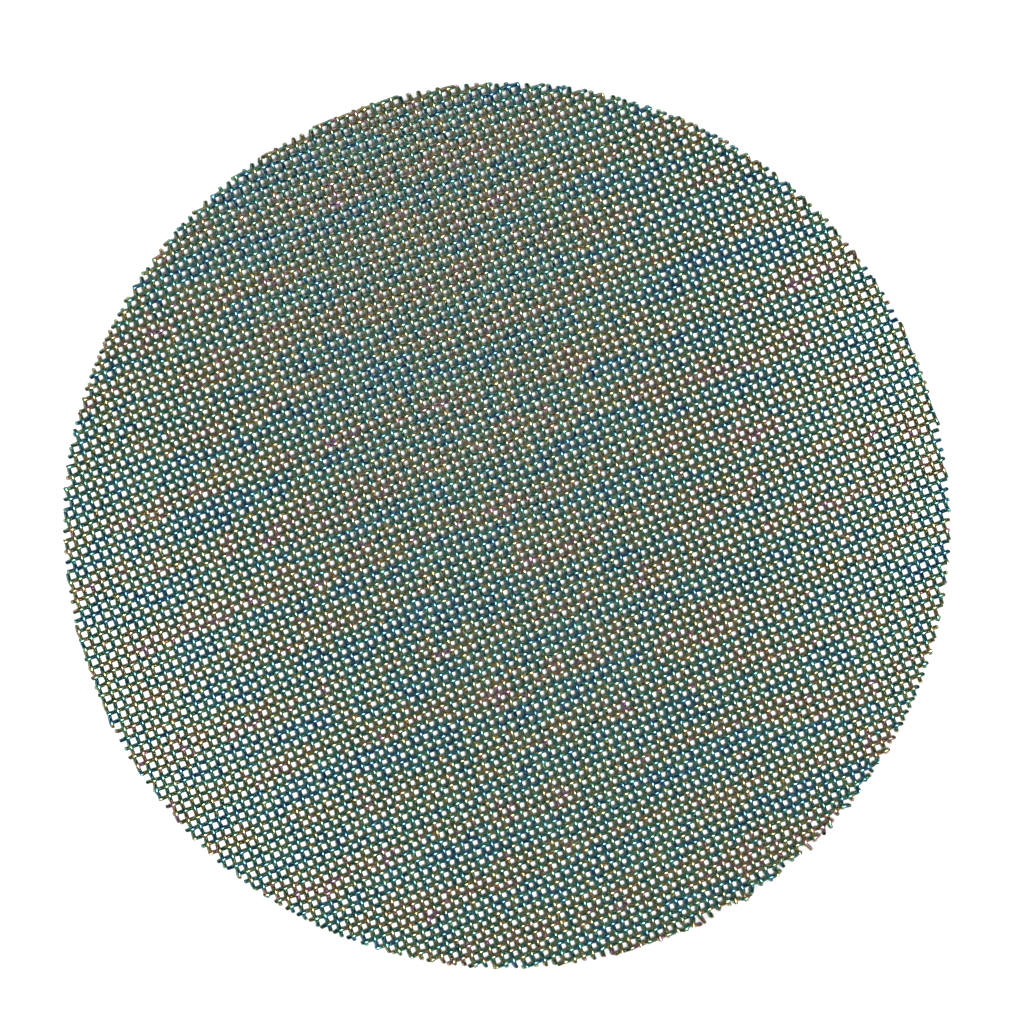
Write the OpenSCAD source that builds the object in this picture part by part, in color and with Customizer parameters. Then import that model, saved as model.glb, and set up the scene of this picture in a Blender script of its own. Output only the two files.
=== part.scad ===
// Wire mesh filter disc: a plain round piece punched from woven steel wire cloth.
// The cut rim has no binding, so the wire ends stand out all round it.
// The warp wires are ridges on top of one thin wall and the weft wires are ridges below it.
// A plain grid of gaps opens the wall, so that the meshes between the wires are open.
// Millimetres. +Z is up, +X runs along the weft wires and +Y along the warp wires.
// The origin is under the middle of the disc, on the table it lies on.

/* [Disc] */

// Diameter the wires are cut to
disc_d = 38; // [24:0.5:48]

/* [Wire cloth] */

// Diameter of one wire
wire_d = 0.16; // [0.12:0.01:0.2]

// Spacing of the warp wires
warp_pitch = 0.41; // [0.36:0.01:0.6]

// Spacing of the weft wires
weft_pitch = 0.42; // [0.36:0.01:0.6]

/* [Wall and gaps] */

// Thickness of the wall between the warp wires and the weft wires
wall_t = 0.01; // [0.005:0.005:0.02]

// Distance the wall keeps from the cut
rim_gap = 0.05; // [0.03:0.01:0.2]

// Gaps in the wall to either side of the middle
gap_pairs = 2; // [1:1:6]

/* [Hidden] */

steel = [0.47, 0.50, 0.48];

// A wire is drawn with flats, one of them up and one down
wire_sides = 8;
wire_turn = 180 / wire_sides;
wire_r = wire_d / 2;
corner_r = wire_r / cos(wire_turn);
flat_w = wire_d * tan(wire_turn);

disc_r = disc_d / 2;
wall_r = disc_r - rim_gap;

// Heights of the two layers of wires and of the wall between them
weft_z = wire_r;
wall_z = wire_d;
warp_z = wire_d + wall_t + wire_r;

// Wires to either side of the middle one, the last of them still on the wall
warp_n = floor((wall_r - flat_w / 2) / warp_pitch);
weft_n = floor((wall_r - flat_w / 2) / weft_pitch);

// Between its gaps the wall is strips, each hidden behind the flat of one wire
strip_w = 0.9 * flat_w;
gap_wires_x = round(disc_r / gap_pairs / warp_pitch);
gap_wires_y = round(disc_r / gap_pairs / weft_pitch);
strip_n = gap_pairs - 1;

// Half the length of a line across a circle of radius r_c that passes off_c from its middle
function half_chord(r_c, off_c) = sqrt(pow(r_c, 2) - pow(off_c, 2));

// One wire standing on end, with a flat towards each side
module wire(length) {
    rotate([0, 0, wire_turn])
        cylinder(r = corner_r, h = length, $fn = wire_sides);
}

// Warp wires, side by side along X
module warp_wires() {
    for (i = [-warp_n : warp_n]) {
        half_l = half_chord(disc_r, i * warp_pitch);
        translate([i * warp_pitch, half_l, warp_z])
            rotate([90, 0, 0])
                wire(2 * half_l);
    }
}

// Weft wires, side by side along Y
module weft_wires() {
    for (i = [-weft_n : weft_n]) {
        half_l = half_chord(disc_r, i * weft_pitch);
        translate([-half_l, i * weft_pitch, weft_z])
            rotate([0, 90, 0])
                wire(2 * half_l);
    }
}

// The wall between the two layers, as the strips left between its gaps
module wall() {
    for (i = [-strip_n : strip_n]) {
        warp_x = i * gap_wires_x * warp_pitch;
        weft_y = i * gap_wires_y * weft_pitch;
        strip_y = half_chord(wall_r, warp_x);
        strip_x = half_chord(wall_r, weft_y);
        translate([warp_x - strip_w / 2, -strip_y, wall_z])
            cube([strip_w, 2 * strip_y, wall_t]);
        translate([-strip_x, weft_y - strip_w / 2, wall_z])
            cube([2 * strip_x, strip_w, wall_t]);
    }
}

// The whole disc
module mesh_disc() {
    color(steel)
        union() {
            wall();
            warp_wires();
            weft_wires();
        }
}

mesh_disc();
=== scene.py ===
import math
import bpy
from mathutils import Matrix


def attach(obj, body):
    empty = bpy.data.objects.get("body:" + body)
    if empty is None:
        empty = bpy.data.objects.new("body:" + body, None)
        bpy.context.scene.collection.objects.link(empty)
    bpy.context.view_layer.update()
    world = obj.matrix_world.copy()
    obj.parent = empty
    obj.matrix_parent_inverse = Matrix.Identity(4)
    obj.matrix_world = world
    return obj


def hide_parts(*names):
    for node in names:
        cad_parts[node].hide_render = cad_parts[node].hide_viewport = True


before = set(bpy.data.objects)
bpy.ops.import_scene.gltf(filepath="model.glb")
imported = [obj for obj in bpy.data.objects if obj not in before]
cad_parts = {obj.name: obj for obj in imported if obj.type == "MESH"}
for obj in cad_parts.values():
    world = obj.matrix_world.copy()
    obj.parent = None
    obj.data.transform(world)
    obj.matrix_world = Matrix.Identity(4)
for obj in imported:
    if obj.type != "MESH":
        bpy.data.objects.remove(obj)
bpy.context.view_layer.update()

MM = 0.001

# The cloth, in millimetres, as in the part's source
DISC_D = 38.0
WIRE_D = 0.16
WARP_PITCH = 0.41
WEFT_PITCH = 0.42
LAYER_GAP = 0.01

DISC_R = DISC_D / 2
CLOTH_T = 2 * WIRE_D + LAYER_GAP
CRIMP = (WIRE_D + LAYER_GAP) / 2
WARP_N = int((DISC_R - WIRE_D / 2) / WARP_PITCH)
WEFT_N = int((DISC_R - WIRE_D / 2) / WEFT_PITCH)
WIRE_SIDES = 7
STEPS_PER_MESH = 4

# A point that lies past the cut by this share of a step is spare
SPARE_STEP = 0.98

# How uneven the cloth is, in millimetres: its cut ends, its slow pull and its bent meshes
END_SCATTER = 0.03
WANDER = 0.12
FRAY = 0.65
FIRST_SEED = 3

# The pull and the bends, as noise per metre
WANDER_SCALE = 110.0
FRAY_SCALE = 2400.0

# Shares of the fray: in every mesh, more in the fringe at the rim, and most of all where it tore
FRAY_ALL = 0.16
FRAY_RIM = 0.06
FRAY_TORN = 0.78
FRINGE = 0.6

# The torn stretch: the way it faces, the cosine off that way where it starts, and its growth to full
FRAY_SIDE = (0.34, -0.94, 0.0)
TORN_FROM = 0.92
TORN_SPAN = 0.05

# The bake map: its width in radii of the disc, and its shift for each unit of height
MAP_WIDTH = 2.1
MAP_SLANT = 0.3

# Tints of the steel, from blue through green and brown to purple
TINTS = [
    (0.36, (0.09, 0.24, 0.40)), (0.44, (0.10, 0.33, 0.32)), (0.48, (0.13, 0.35, 0.23)),
    (0.51, (0.19, 0.34, 0.24)), (0.55, (0.28, 0.32, 0.14)), (0.61, (0.42, 0.29, 0.12)),
    (0.70, (0.36, 0.22, 0.34)),
]

# What spreads the tints, as noise per metre. Bands are drawn out along the weft
BAND_SCALE = 1000.0
BAND_ALONG = 0.14
PATCH_SCALE = 1100.0
SPECK_SCALE = 3200.0
DULL_SCALE = 2600.0

# Weft that one bobbin lays before the next, and how far its end drifts, in millimetres
BOBBIN = 2.5
BOBBIN_DRIFT = 3.0

# Shares of each in the choice of tint
BOBBIN_SHARE = 0.06
BAND_SHARE = 0.22
PATCH_SHARE = 0.24
SPECK_SHARE = 0.54

# Brightness of the tint and roughness of the wire: the least, and what the noise adds
SHADE_LEAST = 0.5
SHADE_SPAN = 1.1
ROUGH_LEAST = 0.19
ROUGH_SPAN = 0.19

# The paper, in millimetres: its dip under the disc's middle, what one side adds to that,
# the width over which it rises to the rim, and how far past the rim it is level again
SAG = 0.7
SAG_LEAN = 0.2
SAG_EDGE = 0.5
SAG_PAST_RIM = 0.1
PAPER_TINT = (0.46, 0.46, 0.456, 1.0)

# Lines of the paper's grid: close ones near the disc, then one further out and its edge
FLOOR_STEP = 0.25
FLOOR_STEPS = 100
FLOOR_NEXT = 60.0
FLOOR_EDGE = 1200.0

# The light, in metres and watts, and the dim room round it
KEY_PLACE = (0.175, -0.175, 1.2)
KEY_SIZE = 0.2
KEY_POWER = 41.5
ROOM_TINT = (0.018, 0.021, 0.02, 1.0)

# The photograph: pixels, with the disc's middle and radius in them
PHOTO = 1024
DISC_PX = (507.25, 525.55)
DISC_R_PX = 442.2
WEFT_TILT = math.radians(20.19)
MM_PER_PX = DISC_R / DISC_R_PX

# The camera: its height in metres and the width of its sensor in millimetres
CAMERA_HEIGHT = 0.7
SENSOR = 36.0


class Value:
    """A node socket that does sums: each operator adds one Math node."""

    def __init__(self, net, socket):
        self.net = net
        self.socket = socket

    def sum(self, operation, *terms):
        return self.net.node("ShaderNodeMath", {"operation": operation}, dict(enumerate(terms)))

    def __add__(self, other):
        return self.sum("ADD", self, other)

    def __radd__(self, other):
        return self.sum("ADD", other, self)

    def __sub__(self, other):
        return self.sum("SUBTRACT", self, other)

    def __rsub__(self, other):
        return self.sum("SUBTRACT", other, self)

    def __mul__(self, other):
        return self.sum("MULTIPLY", self, other)

    def __rmul__(self, other):
        return self.sum("MULTIPLY", other, self)

    def __truediv__(self, other):
        return self.sum("DIVIDE", self, other)

    def __rtruediv__(self, other):
        return self.sum("DIVIDE", other, self)

    def __pow__(self, other):
        return self.sum("POWER", self, other)

    def __lt__(self, other):
        return self.sum("LESS_THAN", self, other)

    def __gt__(self, other):
        return self.sum("GREATER_THAN", self, other)

    def __neg__(self):
        return self.sum("MULTIPLY", self, -1.0)

    def abs(self):
        return self.sum("ABSOLUTE", self)

    def floor(self):
        return self.sum("FLOOR", self)

    def cos(self):
        return self.sum("COSINE", self)

    def sqrt(self):
        return self.sum("SQRT", self)

    def at_least(self, other):
        return self.sum("MAXIMUM", self, other)

    def at_most(self, other):
        return self.sum("MINIMUM", self, other)


class Net:
    """A node tree that nodes are added to."""

    def __init__(self, tree):
        self.tree = tree

    def node(self, kind, settings=None, sockets=None, out=0):
        made = self.tree.nodes.new(kind)
        for name, setting in (settings or {}).items():
            if name == "stops":
                ramp = made.color_ramp
                while len(ramp.elements) < len(setting):
                    ramp.elements.new(1.0)
                for stop, (place, colour) in zip(ramp.elements, setting):
                    stop.position = place
                    stop.color = (*colour, 1.0)
            else:
                setattr(made, name, setting)
        for key, given in (sockets or {}).items():
            if isinstance(given, Value):
                self.tree.links.new(given.socket, made.inputs[key])
            else:
                made.inputs[key].default_value = given
        return Value(self, made.outputs[out]) if made.outputs else made

    def vector(self, operation, sockets, out=0):
        return self.node("ShaderNodeVectorMath", {"operation": operation}, sockets, out)

    def plus(self, one, other):
        return self.vector("ADD", {0: one, 1: other})

    def times(self, vector, number):
        return self.vector("SCALE", {0: vector, "Scale": number})

    def stored(self, name):
        return self.node("GeometryNodeInputNamedAttribute", {"data_type": "FLOAT"}, {"Name": name})


def wire_tree(material):
    """The tree that lays every second wire of one layer, crimped over and under what it crosses."""
    tree = bpy.data.node_groups.new("woven_wires", "GeometryNodeTree")
    tree.interface.new_socket("Wires", in_out="OUTPUT", socket_type="NodeSocketGeometry")
    kinds = {
        "Along": "NodeSocketVector", "Across": "NodeSocketVector", "Count": "NodeSocketInt",
        "First": "NodeSocketInt", "Pitch": "NodeSocketFloat", "Cross Pitch": "NodeSocketFloat",
        "Samples": "NodeSocketInt", "Steps": "NodeSocketInt", "Sides": "NodeSocketInt",
        "Wire Diameter": "NodeSocketFloat", "Disc Radius": "NodeSocketFloat",
        "Crimp": "NodeSocketFloat", "Middle": "NodeSocketFloat", "End Scatter": "NodeSocketFloat",
        "Wander": "NodeSocketFloat", "Fray": "NodeSocketFloat", "Fray Side": "NodeSocketVector",
        "Seed": "NodeSocketInt",
    }
    for name, kind in kinds.items():
        tree.interface.new_socket(name, in_out="INPUT", socket_type=kind)
    net = Net(tree)
    group_in = tree.nodes.new("NodeGroupInput")
    size = {name: Value(net, group_in.outputs[name]) for name in kinds}

    # Points in rows, one row to a wire. The small share keeps a row's first point in that row
    index = net.node("GeometryNodeInputIndex")
    row = (index / size["Samples"] + 0.0001).floor()
    step_no = index - row * size["Samples"]
    wire_no = size["First"] + 2.0 * row
    offset = wire_no * size["Pitch"]
    step = size["Cross Pitch"] / size["Steps"]
    raw = (step_no - (size["Samples"] - 1.0) / 2.0) * step

    # Each wire ends where the cut passes, give or take a little at either end
    end_no = row * 2.0 + (raw > 0.0)
    scatter = net.node(
        "FunctionNodeRandomValue", {"data_type": "FLOAT"},
        {2: -1.0, 3: 1.0, "ID": end_no, "Seed": size["Seed"]}, out=1,
    )
    chord = size["Disc Radius"] ** 2.0 - offset ** 2.0
    reach = chord.at_least(0.0).sqrt() + scatter * size["End Scatter"]
    along = raw.at_most(reach).at_least(-reach)
    past = raw.abs() > reach + step * SPARE_STEP

    # It goes over one wire that it crosses and under the next
    over = (math.pi * (along / size["Cross Pitch"] + wire_no)).cos() * size["Crimp"]
    height = net.node("ShaderNodeCombineXYZ", None, {"Z": over + size["Middle"]})
    flat_place = net.plus(net.times(size["Along"], along), net.times(size["Across"], offset))
    place = net.plus(flat_place, height)

    points = net.node(
        "GeometryNodePoints", None, {"Count": size["Count"] * size["Samples"], "Radius": 0.0001}
    )
    for name, value in (("along", raw), ("row", row), ("past", past)):
        points = net.node(
            "GeometryNodeStoreNamedAttribute", {"data_type": "FLOAT", "domain": "POINT"},
            {"Geometry": points, "Name": name, "Value": value},
        )
    points = net.node("GeometryNodeSetPosition", None, {"Geometry": points, "Position": place})
    points = net.node(
        "GeometryNodeDeleteGeometry", {"domain": "POINT"},
        {"Geometry": points, "Selection": net.stored("past") > 0.5},
    )
    curves = net.node(
        "GeometryNodePointsToCurves", None,
        {"Points": points, "Curve Group ID": net.stored("row"), "Weight": net.stored("along")},
    )

    # The cloth was pulled about a little: both layers are moved by the same fields
    where = net.node("GeometryNodeInputPosition")
    flat = net.vector("MULTIPLY", {0: where, 1: (1.0, 1.0, 0.0)})

    def pull(scale):
        field = net.node(
            "ShaderNodeTexNoise", {"noise_dimensions": "3D"},
            {"Vector": flat, "Scale": scale, "Detail": 1.0, "Roughness": 0.4}, out=1,
        )
        field = net.vector("SUBTRACT", {0: field, 1: (0.5, 0.5, 0.5)})
        return net.vector("MULTIPLY", {0: field, 1: (1.0, 1.0, 0.0)})

    # No mesh is quite square. The last ones at the cut are bent, and most where the punch tore
    out_r = net.vector("LENGTH", {0: flat}, out=1)
    side = net.vector("DOT_PRODUCT", {0: flat, 1: size["Fray Side"]}, out=1)
    torn = ((side / out_r - TORN_FROM) / TORN_SPAN).at_least(0.0).at_most(1.0)
    rim = ((out_r - size["Disc Radius"]) / (FRINGE * MM) + 1.0).at_least(0.0).at_most(1.0)
    bend = size["Fray"] * (FRAY_ALL + rim * (FRAY_RIM + FRAY_TORN * torn))
    moved = net.plus(
        net.times(pull(WANDER_SCALE), size["Wander"]), net.times(pull(FRAY_SCALE), bend)
    )
    curves = net.node("GeometryNodeSetPosition", None, {"Geometry": curves, "Offset": moved})
    curves = net.node("GeometryNodeSetCurveNormal", {"mode": "Z_UP"}, {"Curve": curves})

    ring = net.node(
        "GeometryNodeCurvePrimitiveCircle", {"mode": "RADIUS"},
        {"Resolution": size["Sides"], "Radius": size["Wire Diameter"] / 2.0},
    )
    mesh = net.node(
        "GeometryNodeCurveToMesh", None, {"Curve": curves, "Profile Curve": ring, "Fill Caps": True}
    )

    # A map seen from a little off straight above, so that upright faces have room on it too
    where = net.node("GeometryNodeInputPosition")
    x, y, z = (net.node("ShaderNodeSeparateXYZ", None, {0: where}, out=axis) for axis in range(3))
    across = size["Disc Radius"] * MAP_WIDTH
    shift = (z - size["Middle"]) * MAP_SLANT
    spot = net.node(
        "ShaderNodeCombineXYZ", None,
        {"X": (x + shift) / across + 0.5, "Y": (y + shift) / across + 0.5},
    )
    mesh = net.node(
        "GeometryNodeStoreNamedAttribute", {"data_type": "FLOAT2", "domain": "CORNER"},
        {"Geometry": mesh, "Name": "OFBake", "Value": spot},
    )

    # The sides of the wires are smooth, and their cut ends, faces with more than four corners, flat
    mesh = net.node(
        "GeometryNodeSetShadeSmooth", {"domain": "FACE"}, {"Geometry": mesh, "Shade Smooth": True}
    )
    corners = net.node("GeometryNodeInputMeshFaceNeighbors")
    mesh = net.node(
        "GeometryNodeSetShadeSmooth", {"domain": "FACE"},
        {"Geometry": mesh, "Selection": corners > 4.5, "Shade Smooth": False},
    )
    mesh = net.node("GeometryNodeRealizeInstances", None, {"Geometry": mesh})
    mesh = net.node("GeometryNodeSetMaterial", None, {"Geometry": mesh, "Material": material})
    group_out = tree.nodes.new("NodeGroupOutput")
    tree.links.new(mesh.socket, group_out.inputs[0])
    return tree


def plain_mesh(name, tree, values):
    """Runs a tree with these values and keeps what it makes as a plain mesh."""
    maker = bpy.data.objects.new(name + "_maker", bpy.data.meshes.new(name + "_maker"))
    bpy.context.scene.collection.objects.link(maker)
    modifier = maker.modifiers.new("wires", "NODES")
    modifier.node_group = tree
    for item in tree.interface.items_tree:
        if item.in_out == "INPUT":
            modifier[item.identifier] = values[item.name]
    view = bpy.context.evaluated_depsgraph_get()
    mesh = bpy.data.meshes.new_from_object(maker.evaluated_get(view), depsgraph=view)
    mesh.name = name
    bpy.data.objects.remove(maker)
    for spare in ("along", "row", "past"):
        if spare in mesh.attributes:
            mesh.attributes.remove(mesh.attributes[spare])
    piece = bpy.data.objects.new(name, mesh)
    bpy.context.scene.collection.objects.link(piece)
    return piece


def new_material(name):
    material = bpy.data.materials.new(name)
    material.use_nodes = True
    material.node_tree.nodes.clear()
    return material, Net(material.node_tree)


def finish_material(net, shader):
    out = net.tree.nodes.new("ShaderNodeOutputMaterial")
    net.tree.links.new(shader.socket, out.inputs["Surface"])


def wire_steel():
    """Drawn steel wire: dull grey-green, in bands, patches and specks of slightly other tints."""
    material, net = new_material("wire_steel")
    place = net.node("ShaderNodeTexCoord", out=3)
    drawn = net.vector("MULTIPLY", {0: place, 1: (BAND_ALONG, 1.0, 1.0)})

    def noise(vector, scale, detail):
        return net.node(
            "ShaderNodeTexNoise", None, {"Vector": vector, "Scale": scale, "Detail": detail}
        )

    band = noise(drawn, BAND_SCALE, 2.0)
    patch = noise(place, PATCH_SCALE, 1.0)
    speck = noise(place, SPECK_SCALE, 0.0)
    dull = noise(place, DULL_SCALE, 3.0)
    weft_y = net.node("ShaderNodeSeparateXYZ", None, {0: place}, out=1)
    bobbin = ((weft_y / MM + BOBBIN_DRIFT * band) * (2.0 * math.pi / BOBBIN)).cos()
    choice = (
        BOBBIN_SHARE * bobbin + BAND_SHARE * band + PATCH_SHARE * patch + SPECK_SHARE * speck
    )
    tint = net.node("ShaderNodeValToRGB", {"stops": TINTS}, {"Fac": choice})
    tint = net.times(tint, SHADE_LEAST + SHADE_SPAN * speck)
    shader = net.node(
        "ShaderNodeBsdfPrincipled", None,
        {"Base Color": tint, "Metallic": 1.0, "Roughness": ROUGH_LEAST + ROUGH_SPAN * dull},
    )
    finish_material(net, shader)
    return material


def paper():
    """Plain pale grey paper, which the light makes white."""
    material, net = new_material("paper")
    shader = net.node(
        "ShaderNodeBsdfPrincipled", None,
        {"Base Color": PAPER_TINT, "Roughness": 0.9, "Specular IOR Level": 0.1},
    )
    finish_material(net, shader)
    return material


def paper_z(x, y):
    """Height of the paper: lowest along the middle warp wire, and more so towards its upper end."""
    depth = max(SAG * (1 - (x / DISC_R) ** 2) + SAG_LEAN * y / DISC_R, 0.0)
    inside = (DISC_R + SAG_PAST_RIM - math.hypot(x, y)) / SAG_EDGE
    inside = min(max(inside, 0.0), 1.0)
    return -depth * inside * inside * (3 - 2 * inside)


# The cloth
tree = wire_tree(wire_steel())
layers = {
    "weft": {
        "Along": (1.0, 0.0, 0.0), "Across": (0.0, 1.0, 0.0), "Pitch": WEFT_PITCH * MM,
        "Cross Pitch": WARP_PITCH * MM, "Crimp": CRIMP * MM,
        "Samples": 2 * (WARP_N + 1) * STEPS_PER_MESH + 1,
    },
    "warp": {
        "Along": (0.0, 1.0, 0.0), "Across": (1.0, 0.0, 0.0), "Pitch": WARP_PITCH * MM,
        "Cross Pitch": WEFT_PITCH * MM, "Crimp": -CRIMP * MM,
        "Samples": 2 * (WEFT_N + 1) * STEPS_PER_MESH + 1,
    },
}
wires = []
for layer, sizes in layers.items():
    most = WEFT_N if layer == "weft" else WARP_N
    for turn, first in (("outer", -most), ("inner", -most + 1)):
        wires.append(plain_mesh(f"{layer}_{turn}_wires", tree, {
            **sizes, "First": first, "Count": (most - first) // 2 + 1, "Steps": STEPS_PER_MESH,
            "Sides": WIRE_SIDES, "Wire Diameter": WIRE_D * MM, "Disc Radius": DISC_R * MM,
            "Middle": CLOTH_T / 2 * MM, "End Scatter": END_SCATTER * MM, "Wander": WANDER * MM,
            "Fray": FRAY * MM, "Fray Side": FRAY_SIDE, "Seed": FIRST_SEED + len(wires),
        }))
for piece in wires:
    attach(piece, "root")
    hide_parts("mesh_disc")

# The paper it lies on, which sags a little under the disc
near = [i * FLOOR_STEP for i in range(-FLOOR_STEPS, FLOOR_STEPS + 1)]
lines = [-FLOOR_EDGE, -FLOOR_NEXT] + near + [FLOOR_NEXT, FLOOR_EDGE]
count = len(lines)
floor_mesh = bpy.data.meshes.new("floor")
floor_mesh.from_pydata(
    [(x * MM, y * MM, paper_z(x, y) * MM) for y in lines for x in lines], [],
    [(r * count + c, r * count + c + 1, (r + 1) * count + c + 1, (r + 1) * count + c)
     for r in range(count - 1) for c in range(count - 1)],
)
for face in floor_mesh.polygons:
    face.use_smooth = True
floor = bpy.data.objects.new("floor", floor_mesh)
bpy.context.scene.collection.objects.link(floor)
floor_mesh.materials.append(paper())

# One soft light, nearly straight above
light = bpy.data.lights.new("key", "AREA")
light.shape = "DISK"
light.size = KEY_SIZE
light.energy = KEY_POWER
lamp = bpy.data.objects.new("key", light)
lamp.location = KEY_PLACE
lamp.rotation_euler = (-lamp.location).to_track_quat("-Z", "Y").to_euler()
bpy.context.scene.collection.objects.link(lamp)
world = bpy.data.worlds.new("studio")
world.use_nodes = True
world.node_tree.nodes["Background"].inputs["Color"].default_value = ROOM_TINT
bpy.context.scene.world = world
bpy.context.scene.view_settings.view_transform = "Standard"

# The camera looks straight down, turned so that the weft rises to the right
camera_data = bpy.data.cameras.new("camera")
camera = bpy.data.objects.new("camera", camera_data)
right_px = PHOTO / 2 - DISC_PX[0]
up_px = DISC_PX[1] - PHOTO / 2
turn = -WEFT_TILT
camera.location = (
    (right_px * math.cos(turn) - up_px * math.sin(turn)) * MM_PER_PX * MM,
    (right_px * math.sin(turn) + up_px * math.cos(turn)) * MM_PER_PX * MM,
    CAMERA_HEIGHT,
)
camera.rotation_euler = (0.0, 0.0, turn)
camera_data.sensor_width = SENSOR
camera_data.lens = SENSOR * (CAMERA_HEIGHT - CLOTH_T / 2 * MM) / (PHOTO * MM_PER_PX * MM)
camera_data.clip_start = 0.01
camera_data.clip_end = 10.0
bpy.context.scene.collection.objects.link(camera)
bpy.context.scene.camera = camera
